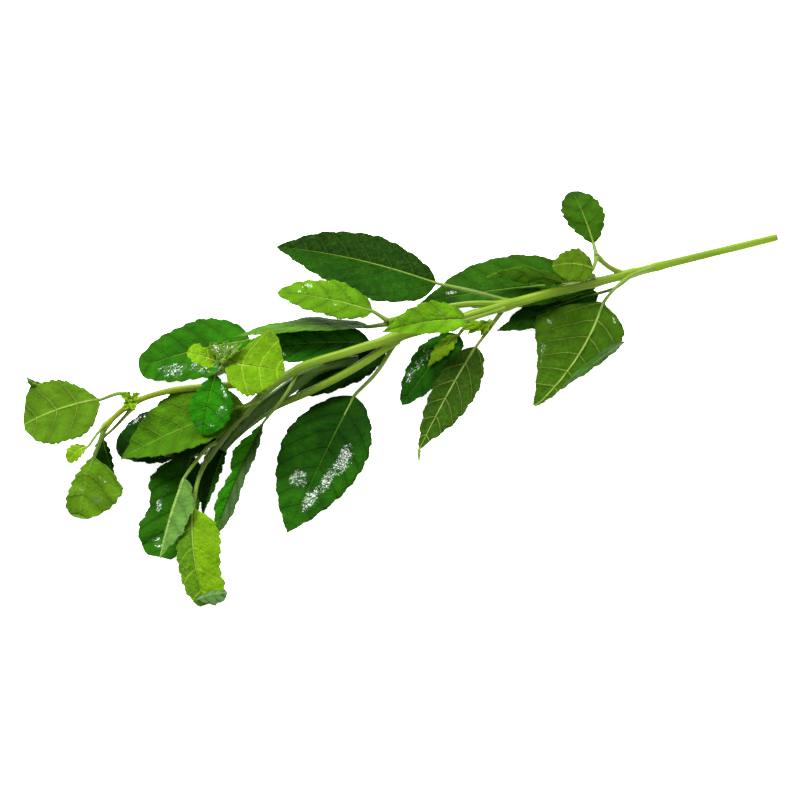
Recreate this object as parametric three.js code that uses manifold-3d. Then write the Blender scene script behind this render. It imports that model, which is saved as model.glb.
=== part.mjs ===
// A cut sprig of basil lying on a table: one branched stem, its leaves on their stalks, and small buds where
// leaves meet it. Lengths are in millimetres and angles in degrees. +Z is up, +X runs towards the cut end,
// and the table is at z = 0.
import * as THREE from "three";
import { mergeVertices } from "three/addons/utils/BufferGeometryUtils.js";
import Module from "manifold-3d";

const wasm = await Module();
wasm.setup();

// Places on the sprig are given as somebody looking down on it would point at them: how far to the right and
// how far up they look, at the scale of the sprig's middle, and then their true height above the table.
const VIEW_ELEVATION = THREE.MathUtils.degToRad(55);
const VIEW_DISTANCE = 900;
const PLAN_MIDDLE = new THREE.Vector3(4.3, -4.3, 0);

const BLADE_THICKNESS = 0.7;
const NEIGHBOUR_GAP = 0.3;
const STALK_RADIUS = 0.75;
const STALK_FOOT_RADIUS = 1.05;
const RIB_DEPTH = 0.6;
const STALK_IN_BLADE = 0.07;
const TOOTH_DEPTH = 0.7;
const TOOTH_PEAK = 0.7;
const STATIONS = 40;
const CROSS_STEPS = 12;
const NARROW_BLADE = 14;
const BUD_HEART_RADIUS = 1.1;

const STEM_SIDES = 8;
const STALK_SIDES = 5;
const STEM_SQUARENESS = 0.07;

// Each stem: its line of points, and its radius at the start and at the end. The first is the main one.
const STEMS = [
  {
    points: [
      [125.5, 54.3, 1.2], [113, 51.2, 2.2], [100, 48, 4], [87, 44.8, 6.5], [75, 41.7, 9], [63, 38.7, 11],
      [50, 35.6, 13], [36, 31.8, 15], [23.3, 28, 16.5], [10, 24.2, 17.5], [-1.7, 20.8, 18],
      [-16.7, 16.2, 18.5], [-32.7, 11, 18.5], [-43.3, 4, 18], [-52, -4.5, 17], [-59.5, -13, 14.5],
      [-64.5, -20, 11.5],
    ],
    radius: [1.25, 1.0], thickest: 1.65,
  },
  {
    points: [
      [-1, 20.5, 17], [-10, 14, 14.5], [-20, 8, 12.5], [-32, 2, 10.5], [-42, -2.5, 9], [-50.5, -8.5, 8],
      [-55, -12, 7.5],
    ],
    radius: [1.5, 1.1],
  },
  {
    points: [[37, 32, 15], [23.3, 32, 17.5], [13, 30.5, 18.5], [3.5, 28.5, 19.5], [-4, 26, 20]],
    radius: [1.1, 0.9],
  },
  { points: [[75, 41.7, 9], [69.5, 44.5, 13], [65.5, 48, 17]], radius: [1.1, 0.8] },
  {
    points: [
      [-43, 4.3, 18], [-54, 5, 21], [-66.7, 4.2, 23], [-77, 3, 23.5], [-85, 0.8, 22.5], [-90, -1.5, 21],
      [-95, -5.5, 19], [-99, -9.5, 17],
    ],
    radius: [1.3, 0.9],
  },
  { points: [[-45, 2.7, 18], [-50, 4, 25], [-55.5, 8, 31], [-59.5, 11.5, 34]], radius: [1.1, 0.8] },
];

const LEAF_DEFAULTS = {
  via: [],
  arch: 2,
  sway: 0,
  roll: 0,
  fold: [10, 10],
  curl: [-10, -10],
  wave: 0.5,
  waves: 2.5,
  halves: [1, 1],
  widest: [0.42, 0.42],
  tipPower: [0.95, 0.95],
  basePower: 0.6,
  teeth: 8,
  upside: 1,
  outline: null,
  flaps: [],
};

const FLAP_DEFAULTS = { ...LEAF_DEFAULTS, arch: 0.6, fold: [-12, -12], curl: [-30, -30], wave: 0 };
const BUD_BLADE = { ...LEAF_DEFAULTS, arch: 0.4, fold: [25, 25], widest: [0.55, 0.55], teeth: 3, wave: 0 };

// Each leaf: where its stalk leaves the stem, places that the stalk passes, where the blade starts and where
// its tip is. width is across the flattened blade. Pairs are for the half on the left and the half on the right
// of somebody who looks from the blade's base to its tip. outline lists half widths instead, evenly spaced from
// the base to the tip. flaps are parts of the blade that are folded over and lie on it.
const LEAVES = [
  // along the lower stem, towards the cut end
  {
    name: "leaf_under_stem", kind: "mature", root: [75, 41.3, 8], base: [66.7, 39.5, 7.5],
    tip: [7, 32.5, 2.5], width: 31, fold: [8, 8], halves: [0.6, 0.89], widest: [0.42, 0.5],
  },
  {
    name: "leaf_under_low", kind: "gloss", root: [77, 41.5, 7], via: [[72, 37.5, 4.5]],
    base: [66, 35.5, 2], tip: [32.3, 22.3, -1.2], width: 14, fold: [6, 6], teeth: 7,
  },
  {
    name: "leaf_small_top", kind: "mature", root: [65.5, 48, 17], base: [64.5, 52, 18],
    tip: [57.3, 69.5, 21], width: 15, widest: [0.55, 0.5], tipPower: [0.6, 0.6], teeth: 7,
  },
  {
    name: "leaf_small_back", kind: "pale", root: [65.5, 47.5, 17], base: [64.3, 43.5, 19],
    tip: [50.7, 44.5, 21.5], width: 16, halves: [1.05, 0.85], widest: [0.5, 0.4],
    tipPower: [0.55, 0.55], teeth: 7, upside: -1,
  },
  {
    name: "leaf_edge_back", kind: "mature", root: [64.8, 41.4, 13.2], base: [55, 39.5, 16],
    tip: [29, 41, 13.5], width: 14, roll: 62, fold: [14, -14], teeth: 7,
  },
  {
    name: "leaf_rolled_right", kind: "pale", root: [86, 44.7, 7], via: [[76, 40.8, 12], [71, 36.5, 11]],
    base: [67.7, 32.3, 9], tip: [44.7, -2.7, -1.2], width: 30, sway: 3.5, fold: [4, 6],
    curl: [-14, -12], teeth: 9,
    outline: [[1, 8.6, 11.2, 8, 5.6, 4, 3, 1.8, 0.6], [3, 14, 19.4, 19.8, 17, 13.4, 9.6, 5.6, 1.4]],
    upside: -1,
    flaps: [{ base: [74.6, 19.4, 9.3], tip: [53.6, 3.7, 3.2], width: 6.5, halves: [0.55, 1.2], teeth: 4 }],
  },

  // round the middle fork
  {
    name: "leaf_back_large", kind: "mature", root: [36, 33, 15], via: [[25, 36, 19]],
    base: [12, 39, 20], tip: [-41.3, 51, 17], width: 25, arch: 3, fold: [12, 12], halves: [1.25, 0.88],
    widest: [0.32, 0.47], tipPower: [0.8, 0.8], teeth: 9,
  },
  {
    name: "leaf_fork_pale", kind: "light", root: [35, 30.5, 16], base: [22, 26.7, 22],
    tip: [-5.7, 22.7, 24], width: 18, fold: [30, 30], halves: [1.02, 0.78], teeth: 7,
  },
  {
    name: "leaf_hanging_long", kind: "pale", root: [34.5, 30.5, 14], via: [[30, 24, 15]],
    base: [25.3, 17.7, 14], tip: [6.3, -16.8, 3], width: 17, halves: [1.08, 0.72],
    tipPower: [0.95, 0.7], upside: -1,
    flaps: [{ base: [6.4, -15.6, 3.5], tip: [6.3, -20.3, 2.6], width: 1.6, arch: 0.2, teeth: 2 }],
  },
  {
    name: "leaf_hanging_dark", kind: "gloss", root: [24, 27.5, 15], base: [19.5, 21.7, 10],
    tip: [0.7, -1.7, 4], width: 15, tipPower: [0.6, 0.6], teeth: 7,
    flaps: [{ base: [18.6, 21.6, 10.6], tip: [9.2, 11, 9], width: 6, arch: 0.8, kind: "young", teeth: 5 }],
  },
  {
    name: "leaf_front_large", kind: "gloss", root: [-1, 20, 17], via: [[-8, 9, 10]],
    base: [-15.3, 1.3, 5], tip: [-37.4, -45, -1.5], width: 31, fold: [3, 3], halves: [0.91, 1],
    basePower: 0.75, tipPower: [0.9, 0.8], teeth: 10,
  },
  {
    name: "leaf_under_fork", kind: "shade", root: [-2, 20, 16.5], base: [-5, 16, 9], tip: [-36, 0, 3],
    width: 15, teeth: 7,
  },

  // along the upper left, behind the stem
  {
    name: "leaf_light_back", kind: "light", root: [-4, 26.3, 20], base: [-9.3, 29.7, 22.5],
    tip: [-41, 35.6, 27], width: 15.5, tipPower: [0.6, 0.55],
  },
  {
    name: "leaf_edge_long", kind: "light", root: [-3.5, 25.5, 18.5], base: [-10, 24.5, 17],
    tip: [-55.7, 20.7, 22], width: 18, roll: 35, fold: [4, 4], halves: [0.7, 1],
  },
  {
    name: "leaf_dark_long", kind: "gloss", root: [-4, 19, 16.5], base: [-10, 19, 12.6],
    tip: [-56, 16, 12.8], width: 18,
  },
  {
    name: "leaf_round_left", kind: "mature", root: [-38, 8, 17], via: [[-44, 15, 10.5]],
    base: [-50, 20, 6.5], tip: [-87, 10.5, -1.5], width: 26, halves: [1.03, 0.9], widest: [0.4, 0.42],
    tipPower: [0.4, 0.4], teeth: 9,
  },

  // the young shoot that stands up from the heap
  {
    name: "leaf_young_top", kind: "young", root: [-59, 12, 33.5], base: [-58.4, 12.6, 34.3],
    tip: [-38.4, 9.6, 34], width: 26, arch: 0, wave: 0.3, teeth: 11,
    outline: [
      [0.5, 3.4, 6.4, 9.8, 12.8, 14.8, 12.8, 7.6, 1.5],
      [1.5, 7.8, 10, 12.2, 13, 11.8, 9.6, 6.6, 1.5],
    ],
  },
  {
    name: "leaf_young_small", kind: "young", root: [-60, 11.9, 33.7], base: [-61.3, 12.7, 34.6],
    tip: [-70.8, 16, 36], width: 8.5, arch: 0.5, wave: 0.2, teeth: 5,
    outline: [[2.4, 3.8, 4, 4.1, 4.1, 3.9, 3.4, 2.7, 1.4], [1.2, 3, 3.6, 3.8, 3.4, 3.8, 4.3, 3.8, 2.2]],
  },
  {
    name: "leaf_dark_top", kind: "gloss", root: [-58.5, 10.5, 32.5], base: [-61.5, 8.5, 30],
    tip: [-65.9, -11.5, 23], width: 16, teeth: 8,
    outline: [[1, 3.4, 6.4, 8.3, 8.8, 8.6, 7.9, 6.2, 2.6], [1, 2.6, 4, 5, 5.8, 6, 5.2, 3.6, 1]],
  },

  // the wide leaves on the left
  {
    name: "leaf_wide_left", kind: "pale", root: [-47, 0, 18], base: [-52, -2, 21],
    tip: [-93, -19.7, 12], width: 26, fold: [20, 20], halves: [0.86, 1], upside: -1, teeth: 10,
  },
  {
    name: "leaf_wide_under", kind: "shade", root: [-51, -4.5, 16], base: [-56, -7, 12],
    tip: [-94.6, -16.4, 6.5], width: 22, halves: [1.12, 1.04], widest: [0.48, 0.5],
    tipPower: [0.45, 0.45], teeth: 9,
  },
  {
    name: "leaf_far_round", kind: "pale", root: [-88.5, 0, 22], via: [[-93, 2.2, 21.5]],
    base: [-100.3, 0, 18], tip: [-125.3, -8.4, 13], width: 28, teeth: 11,
    outline: [[3, 10, 13, 14, 14.2, 13.6, 12, 9.2, 3], [1, 5, 8, 10.4, 11.8, 12.6, 12.6, 9.6, 2]],
    upside: -1,
    flaps: [{ base: [-118.6, 5, 16.6], tip: [-124.4, 7.6, 18.5], width: 4, sway: 1.2, arch: 0.4, teeth: 2 }],
  },
  {
    name: "leaf_far_low", kind: "pale", root: [-98.5, -9.5, 17], base: [-102, -19, 11],
    tip: [-107, -40.2, -1.5], width: 20, teeth: 8, upside: -1,
    outline: [[1, 7.4, 10.6, 13.2, 12.6, 11.2, 8.8, 5.4, 1.5], [1, 2.6, 3.6, 4.6, 5.2, 5.6, 5.6, 4.8, 2]],
  },
  {
    name: "leaf_far_tiny", kind: "young", root: [-98, -7.8, 18], via: [[-101.5, -12, 20]],
    base: [-104, -15.5, 19.5], tip: [-110.6, -20.5, 18], width: 6.5, widest: [0.6, 0.6],
    tipPower: [0.4, 0.4], teeth: 5, wave: 0.2,
  },
  {
    name: "leaf_far_inner", kind: "shade", root: [-89.5, -3, 20], via: [[-95, -9, 15]],
    base: [-99, -13, 9], tip: [-95.2, -28.5, 2], width: 10, halves: [0.35, 1], teeth: 6,
  },

  // the leaves that fall towards the front
  {
    name: "leaf_bottom_dark", kind: "gloss", root: [-62.6, -17, 12.2], base: [-69.5, -19, 3.5],
    tip: [-80, -53.2, -1.5], width: 19, wave: 0.8, teeth: 9,
    outline: [[2, 6, 8, 8.6, 8.4, 8, 7.4, 6.6, 4.6], [2, 8, 10.6, 10.6, 8.8, 8.8, 9.8, 8.4, 5]],
  },
  {
    name: "leaf_bottom_folded", kind: "pale", root: [-60.5, -14, 14], via: [[-64, -15.7, 16]],
    base: [-72, -26, 14], tip: [-80, -52.7, 6], width: 13, arch: 0.6, roll: 40, fold: [-30, -20],
    halves: [1.05, 0.42], upside: -1, teeth: 7,
  },
  {
    name: "leaf_bottom_bright", kind: "young", root: [-64.3, -19.7, 11.6], via: [[-67.3, -26.7, 11]],
    base: [-68.9, -36, 9], tip: [-64.8, -68.3, 1.2], width: 18, sway: -1.7, fold: [12, -4], teeth: 9,
    outline: [[1, 6.4, 8.8, 9.4, 9, 8.4, 7.9, 8.2, 6], [1, 1.8, 3.9, 5.3, 5.9, 5.8, 5.6, 4.8, 2.6]],
    flaps: [
      {
        base: [-67.6, -66.6, 2], tip: [-57.6, -64.2, 4.4], width: 7.4, arch: 0.9, kind: "pale", upside: -1,
        widest: [0.6, 0.6], tipPower: [0.4, 0.4], teeth: 3,
      },
    ],
  },
  {
    name: "leaf_front_folded", kind: "mature", root: [-33.5, 10.5, 17.5], via: [[-38, 2, 16]],
    base: [-46, -8.2, 12], tip: [-61.3, -43.5, 3], width: 11, fold: [34, 22],
    outline: [[1, 2.9, 3.7, 4.2, 4, 4.3, 4.8, 4.6, 2.6], [1, 2.6, 4.6, 4.9, 3.2, 3.6, 4, 3, 1]],
  },
  {
    name: "leaf_front_inner", kind: "shade", root: [-54.5, -11.7, 7.5], base: [-58, -16, 7],
    tip: [-65.7, -38.3, 3.4], width: 12, halves: [0.35, 1], teeth: 7,
  },
];

// Each bud: its heart just above the stem, and for every tiny blade the place of its tip and its width.
const BUDS = [
  {
    name: "bud_far_left", kind: "young", heart: [-89.5, -0.7, 23.2],
    tips: [[-93.3, 2, 26.5, 5], [-86.5, 2.2, 27.5, 4], [-88.5, -3.5, 26, 4], [-92, -3.5, 25.5, 4]],
  },
  {
    name: "bud_top", kind: "light", heart: [-58.9, 12.9, 36.1],
    tips: [[-63.2, 19.3, 37, 5], [-57.5, 20, 38, 4.5], [-52.5, 19.5, 37.5, 4.5]],
  },
  {
    name: "bud_fork", kind: "young", heart: [30, 25.9, 16.7],
    tips: [[20, 23.2, 15.5, 4.5], [22.5, 22, 16, 4], [27, 21.5, 15.5, 3.5]],
  },
];

const COLOURS = {
  stem: "#9db53c",
  mature: "#3c7a1c",
  gloss: "#25640f",
  shade: "#1f4a14",
  light: "#5f9f20",
  pale: "#6c8f2e",
  young: "#8fb81b",
};

// The point that looks `right` and `up` of the middle, and is `height` above the table.
function seen([right, up, height]) {
  const sin = Math.sin(VIEW_ELEVATION);
  const cos = Math.cos(VIEW_ELEVATION);
  const reach = (VIEW_DISTANCE * sin - height) / (VIEW_DISTANCE * sin - up * cos);
  const y = reach * (up * sin + VIEW_DISTANCE * cos) - VIEW_DISTANCE * cos;
  return new THREE.Vector3(reach * right, y, height).sub(PLAN_MIDDLE);
}

// A closed solid from a geometry whose vertices may still be split between its faces.
function solidFrom(geometry) {
  geometry.deleteAttribute("normal");
  geometry.deleteAttribute("uv");
  const merged = mergeVertices(geometry, 1e-4);
  return new wasm.Manifold(
    new wasm.Mesh({
      numProp: 3,
      vertProperties: new Float32Array(merged.attributes.position.array),
      triVerts: new Uint32Array(merged.index.array),
    }),
  );
}

function geometryFrom(solid) {
  const { numProp, numVert, vertProperties, triVerts } = solid.getMesh();
  const positions = new Float32Array(numVert * 3);
  for (let i = 0; i < numVert; i++) {
    positions.set(vertProperties.subarray(i * numProp, i * numProp + 3), i * 3);
  }
  const geometry = new THREE.BufferGeometry();
  geometry.setAttribute("position", new THREE.BufferAttribute(positions, 3));
  geometry.setIndex(new THREE.BufferAttribute(new Uint32Array(triVerts), 1));
  geometry.computeVertexNormals();
  return geometry;
}

// A bent cylinder along a curve, whose radius changes on the way. squareness swells its four corners.
function bentTube(curve, radiusAt, sides, steps, squareness = 0) {
  const geometry = new THREE.CylinderGeometry(1, 1, 1, sides, steps);
  const frames = curve.computeFrenetFrames(steps, false);
  const position = geometry.attributes.position;
  for (let i = 0; i < position.count; i++) {
    const x = position.getX(i);
    const z = position.getZ(i);
    const step = Math.round((0.5 - position.getY(i)) * steps);
    const share = step / steps;
    const corner = 1 + squareness * Math.cos(4 * Math.atan2(z, x));
    const radius = radiusAt(share) * corner;
    const at = curve
      .getPointAt(share)
      .addScaledVector(frames.normals[step], x * radius)
      .addScaledVector(frames.binormals[step], z * radius);
    position.setXYZ(i, at.x, at.y, at.z);
  }
  return solidFrom(geometry);
}

function stemTube({ points, radius: [start, end], thickest }, extra = 0) {
  const curve = new THREE.CatmullRomCurve3(points.map(seen));
  const swell = thickest ? thickest - (start + end) / 2 : 0;
  const taper = (share) => THREE.MathUtils.lerp(start, end, share) + swell * Math.sin(Math.PI * share);
  const radiusAt = (share) => taper(share) + extra;
  return bentTube(curve, radiusAt, STEM_SIDES, Math.round(1.4 * points.length), STEM_SQUARENESS);
}

// The blade's midrib as evenly spaced stations, each with its place, its sideways direction and its normal.
function midribStations(leaf) {
  const base = seen(leaf.base);
  const tip = seen(leaf.tip);
  const along = tip.clone().sub(base).normalize();
  const across = new THREE.Vector3(0, 0, 1).cross(along).normalize();
  across.applyAxisAngle(along, THREE.MathUtils.degToRad(leaf.roll));
  const out = along.clone().cross(across);
  const middle = base.clone().add(tip).multiplyScalar(0.5);
  middle.addScaledVector(across, 2 * leaf.sway).addScaledVector(out, 2 * leaf.arch);
  const curve = new THREE.QuadraticBezierCurve3(base, middle, tip);
  const stations = [];
  for (let i = 0; i <= STATIONS; i++) {
    const t = i / STATIONS;
    const tangent = curve.getTangent(t);
    const side = across.clone().addScaledVector(tangent, -across.dot(tangent)).normalize();
    stations.push({ place: curve.getPoint(t), side, normal: tangent.clone().cross(side) });
  }
  return stations;
}

function stationAt(stations, t) {
  const i = Math.min(STATIONS - 1, Math.floor(t * STATIONS));
  const share = t * STATIONS - i;
  const mix = (key) => stations[i][key].clone().lerp(stations[i + 1][key], share);
  return { place: mix("place"), side: mix("side").normalize(), normal: mix("normal").normalize() };
}

// The value at `t`, from 0 to 1, of a smooth line through evenly spaced values.
function smoothValue(values, t) {
  const last = values.length - 1;
  const i = Math.min(last - 1, Math.floor(t * last));
  const share = t * last - i;
  const from = values[i];
  const to = values[i + 1];
  const before = values[Math.max(i - 1, 0)];
  const after = values[Math.min(i + 2, last)];
  const square = 2 * before - 5 * from + 4 * to - after;
  const cube = 3 * (from - to) + after - before;
  return from + 0.5 * share * (to - before + share * (square + share * cube));
}

function smoothHalfWidth(leaf, t, sideIndex) {
  if (leaf.outline) return smoothValue(leaf.outline[sideIndex], t);
  const bend = Math.log(0.5) / Math.log(leaf.widest[sideIndex]);
  const power = THREE.MathUtils.lerp(leaf.basePower, leaf.tipPower[sideIndex], t);
  const arc = Math.max(Math.sin(Math.PI * Math.pow(t, bend)), 0);
  return Math.pow(arc, power) * (leaf.width / 2) * leaf.halves[sideIndex];
}

// How wide the half blade is at t: full at each tooth's peak and TOOTH_DEPTH less between teeth.
function halfWidth(leaf, t, sideIndex) {
  const smooth = smoothHalfWidth(leaf, t, sideIndex);
  const phase = (t * leaf.teeth) % 1;
  const rise = phase < TOOTH_PEAK ? phase / TOOTH_PEAK : (1 - phase) / (1 - TOOTH_PEAK);
  const depth = Math.min(TOOTH_DEPTH, 0.35 * smooth);
  return Math.max(smooth - depth * (1 - rise), 0.35);
}

// The point of the blade's middle surface at t along it and `reach` out from the midrib over the blade.
function bladePoint(leaf, stations, t, reach, sideIndex) {
  const { place, side, normal } = stationAt(stations, t);
  const half = leaf.width / 2;
  const fold = THREE.MathUtils.degToRad(leaf.fold[sideIndex]);
  const curl = THREE.MathUtils.degToRad(leaf.curl[sideIndex]);
  let outwards = 0;
  let upwards = 0;
  for (let k = 0; k < CROSS_STEPS; k++) {
    const angle = fold + curl * ((k + 0.5) / CROSS_STEPS) * (reach / half);
    outwards += (Math.cos(angle) * reach) / CROSS_STEPS;
    upwards += (Math.sin(angle) * reach) / CROSS_STEPS;
  }
  const ripple = Math.sin(2 * Math.PI * leaf.waves * t + 1.7 * sideIndex);
  upwards += leaf.wave * ripple * Math.pow(reach / half, 2);
  const direction = sideIndex === 0 ? 1 : -1;
  return place.addScaledVector(side, direction * outwards).addScaledVector(normal, upwards);
}

// The blade as a closed sheet: the same grid above and below its middle surface, joined by a rim.
function bladeSolid(leaf, stations) {
  const rows = [];
  for (let tooth = 0; tooth < leaf.teeth; tooth++) {
    rows.push(tooth / leaf.teeth, (tooth + TOOTH_PEAK) / leaf.teeth);
  }
  rows.push(1);
  const reaches = leaf.width < NARROW_BLADE ? [1, 0, -1] : [1, 0.5, 0, -0.5, -1];
  const columns = reaches.length;
  const middle = rows.map((t) =>
    reaches.map((reach) => {
      const sideIndex = reach > 0 ? 0 : 1;
      return bladePoint(leaf, stations, t, Math.abs(reach) * halfWidth(leaf, t, sideIndex), sideIndex);
    }),
  );
  const last = rows.length - 1;
  const positions = [];
  for (const layer of [1, -1]) {
    for (let r = 0; r <= last; r++) {
      for (let c = 0; c < columns; c++) {
        const down = middle[Math.min(r + 1, last)][c].clone().sub(middle[Math.max(r - 1, 0)][c]);
        const over = middle[r][Math.max(c - 1, 0)].clone().sub(middle[r][Math.min(c + 1, columns - 1)]);
        const normal = down.cross(over).normalize();
        const rib = reaches[c] === 0 && layer !== leaf.upside ? RIB_DEPTH * (1 - r / last) : 0;
        const point = middle[r][c].clone().addScaledVector(normal, layer * (BLADE_THICKNESS / 2 + rib));
        const lowest = layer * normal.z > 0 ? BLADE_THICKNESS : 0;
        positions.push(point.x, point.y, Math.max(point.z, lowest));
      }
    }
  }
  const at = (layer, r, c) => layer * rows.length * columns + r * columns + c;
  const index = [];
  const quad = (a, b, c, d) => index.push(a, b, c, a, c, d);
  for (let r = 0; r < last; r++) {
    for (let c = 0; c < columns - 1; c++) {
      quad(at(0, r, c), at(0, r, c + 1), at(0, r + 1, c + 1), at(0, r + 1, c));
      quad(at(1, r, c), at(1, r + 1, c), at(1, r + 1, c + 1), at(1, r, c + 1));
    }
    quad(at(0, r, 0), at(0, r + 1, 0), at(1, r + 1, 0), at(1, r, 0));
    quad(at(0, r + 1, columns - 1), at(0, r, columns - 1), at(1, r, columns - 1), at(1, r + 1, columns - 1));
  }
  for (let c = 0; c < columns - 1; c++) {
    quad(at(0, 0, c), at(1, 0, c), at(1, 0, c + 1), at(0, 0, c + 1));
    quad(at(0, last, c + 1), at(1, last, c + 1), at(1, last, c), at(0, last, c));
  }
  const geometry = new THREE.BufferGeometry();
  geometry.setAttribute("position", new THREE.Float32BufferAttribute(positions, 3));
  geometry.setIndex(index);
  return solidFrom(geometry);
}

// The stalk from the stem to the blade, ending just inside the blade's midrib.
function stalkSolid(leaf, stations) {
  const inside = stationAt(stations, STALK_IN_BLADE).place;
  const points = [seen(leaf.root), ...leaf.via.map(seen), stations[0].place.clone(), inside];
  const curve = new THREE.CatmullRomCurve3(points, false, "centripetal");
  const radiusAt = (share) => STALK_RADIUS + (STALK_FOOT_RADIUS - STALK_RADIUS) * Math.max(0, 1 - share * 6);
  return bentTube(curve, radiusAt, STALK_SIDES, 4 + 2 * leaf.via.length);
}

function largestPiece(solid) {
  return solid.decompose().reduce((best, piece) => (piece.volume() > best.volume() ? piece : best));
}

function node(name, solid, kind) {
  const roughness = kind === "gloss" ? 0.35 : 0.55;
  const material = new THREE.MeshStandardMaterial({ color: COLOURS[kind], roughness, metalness: 0 });
  const mesh = new THREE.Mesh(geometryFrom(solid), material);
  mesh.name = name;
  return mesh;
}

const sprig = new THREE.Group();
const join = (tubes) => tubes.reduce((whole, tube) => whole.add(tube));
const stem = join(STEMS.map((line) => stemTube(line)));
const stemWithGap = join(STEMS.map((line) => stemTube(line, NEIGHBOUR_GAP)));
sprig.add(node("stem", stem.trimByPlane([0, 0, 1], 0), "stem"));

for (const entry of LEAVES) {
  const leaf = { ...LEAF_DEFAULTS, ...entry };
  const stations = midribStations(leaf);
  const flaps = leaf.flaps.map((flap) => {
    const folded = { ...FLAP_DEFAULTS, ...flap };
    return bladeSolid(folded, midribStations(folded));
  });
  const whole = join([bladeSolid(leaf, stations), stalkSolid(leaf, stations), ...flaps]);
  const cleared = whole.subtract(stemWithGap).trimByPlane([0, 0, 1], 0);
  sprig.add(node(leaf.name, largestPiece(cleared), leaf.kind));
}

for (const { name, kind, heart, tips } of BUDS) {
  const tiny = { ...BUD_BLADE, base: heart };
  const blades = tips.map(([right, up, height, width]) => {
    const leaf = { ...tiny, tip: [right, up, height], width };
    return bladeSolid(leaf, midribStations(leaf));
  });
  const centre = seen(heart);
  const core = wasm.Manifold.sphere(BUD_HEART_RADIUS, 8).translate([centre.x, centre.y, centre.z]);
  sprig.add(node(name, largestPiece(join([core, ...blades]).subtract(stemWithGap)), kind));
}

export default sprig;
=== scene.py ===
"""A cut basil sprig on a pale table.

It has one branched stem, toothed leaves with veins on both faces, and small buds at the tips.
"""

import math

import bpy
import numpy as np
from mathutils import Matrix, Vector


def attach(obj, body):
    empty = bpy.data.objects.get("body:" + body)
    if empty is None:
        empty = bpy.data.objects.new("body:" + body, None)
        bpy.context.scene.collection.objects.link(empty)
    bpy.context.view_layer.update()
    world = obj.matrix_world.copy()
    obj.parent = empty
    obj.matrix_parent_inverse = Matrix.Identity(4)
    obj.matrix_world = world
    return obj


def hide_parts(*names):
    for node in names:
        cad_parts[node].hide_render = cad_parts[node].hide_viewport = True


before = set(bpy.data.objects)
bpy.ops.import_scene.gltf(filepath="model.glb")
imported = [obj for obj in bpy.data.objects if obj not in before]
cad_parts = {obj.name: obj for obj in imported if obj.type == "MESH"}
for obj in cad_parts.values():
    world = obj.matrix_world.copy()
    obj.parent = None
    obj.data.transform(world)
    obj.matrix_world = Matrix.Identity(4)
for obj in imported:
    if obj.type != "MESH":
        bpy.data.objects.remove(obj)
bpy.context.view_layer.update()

# Lengths are in millimetres and angles in degrees, as in the solid model, unless it is said otherwise.
# Meshes are scaled to metres when they are made.
MM = 0.001

# Places are given as seen from the camera's side: how far right and how far up at the scale of the sprig's
# middle, and then the true height above the table.
VIEW_ELEVATION = math.radians(55)
VIEW_DISTANCE = 900
PLAN_MIDDLE = Vector((4.3, -4.3, 0))
FRAME_WIDTH = 800 / 3
SENSOR_WIDTH = 36

# Nothing is lower than this above the table.
LOWEST = 0.05

# Blades: their thickness, the grid that they are made on, and how it crowds to the midrib.
BLADE_THICKNESS = 0.34
EDGE_THICKNESS = 0.18
STATIONS = 40
CROSS_STEPS = 12
BLADE_ROWS = 130
BLADE_COLUMNS = 17
FLAP_ROWS = 30
FLAP_COLUMNS = 8
COLUMN_CROWDING = 1.3
LEAST_HALF_WIDTH = 0.3

# How far a blade's two waved margins are out of step, in radians.
WAVE_SHIFT = 1.7

# Teeth: a tooth rises to its peak and falls back sharply, and fine teeth nick its edge.
TOOTH_DEPTH = 0.7
TOOTH_PEAK = 0.72
TOOTH_ROUNDNESS = 0.7
DEEPEST_TOOTH_SHARE = 0.35
FINE_TOOTH_DEPTH = 0.22
FINE_TEETH = 3.4
FINE_TOOTH_SHIFT = 0.3

# Side veins, the swells between them, and the midrib, which is a ridge below and a shallow groove on top.
VEIN_SPACING = 7
FEWEST_VEINS = 3.5
MOST_VEINS = 7.5
VEIN_SLANT = 0.14
VEIN_BEND = 0.14
VEIN_WOBBLE = 0.25
QUILT_HEIGHT = 0.32
QUILT_FULL_HALF_WIDTH = 14
RIB_RELIEF = 0.55
RIB_HALF_WIDTH = 0.6
RIB_FULL_BLADE_WIDTH = 20
RIB_GROOVE_SHARE = 0.3

# Stalks: thick at the foot, thin in the blade, and grooved along the top. The angle is in radians.
STALK_RADIUS = 0.72
STALK_FOOT_RADIUS = 1.1
STALK_FOOT_LENGTH = 1.6
STALK_END_RADIUS = 0.42
STALK_POINT_SHARE = 0.3
STALK_IN_BLADE = (0.05, 0.16)
STALK_BELOW_BLADE = 0.25
STALK_STEP = 0.7
STALK_SIDES = 14
STALK_GROOVE = 0.22
STALK_GROOVE_ANGLE = 0.5

# Stems: slightly squared, with a swelling where leaves leave them.
STEM_SIDES = 24
STEM_STEP = 0.8
STEM_SQUARENESS = 0.07
STEM_RIBBING = 0.015
NODE_SWELL = 0.2267
NODE_LENGTH = 2.2
NODE_REACH = 3
CURVE_STEPS = 24
RING_DRIFT = 0.1

BUD_HEART_RADIUS = 1.1
BUD_HEART_HEIGHTS = (-1.4, -0.5, 0.5, 1.2)
BUD_HEART_STEP = 0.2
BUD_HEART_RIBBING = 0.08
BUD_LEAF_WIDTH = 5

# The light is strong, so that the table stays white, and skins take this share of red, green and blue.
SKIN_SHARE = (0.29, 0.33, 0.12)
TABLE_GLOW = 0.8

# Noise and nets of a leaf's skin, by how many there are to the metre.
PATCHES_PER_METRE = 34
CLOUDS_PER_METRE = 55
WOBBLES_PER_METRE = 140
MOTTLES_PER_METRE = 190
PUCKERS_PER_METRE = 260
NET_PER_METRE = 420
FILM_PER_METRE = 600
DROPS_PER_METRE = 750
SPECKLES_PER_METRE = 900
FINE_NET_PER_METRE = 1000
GRAIN_PER_METRE = 1400

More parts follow.
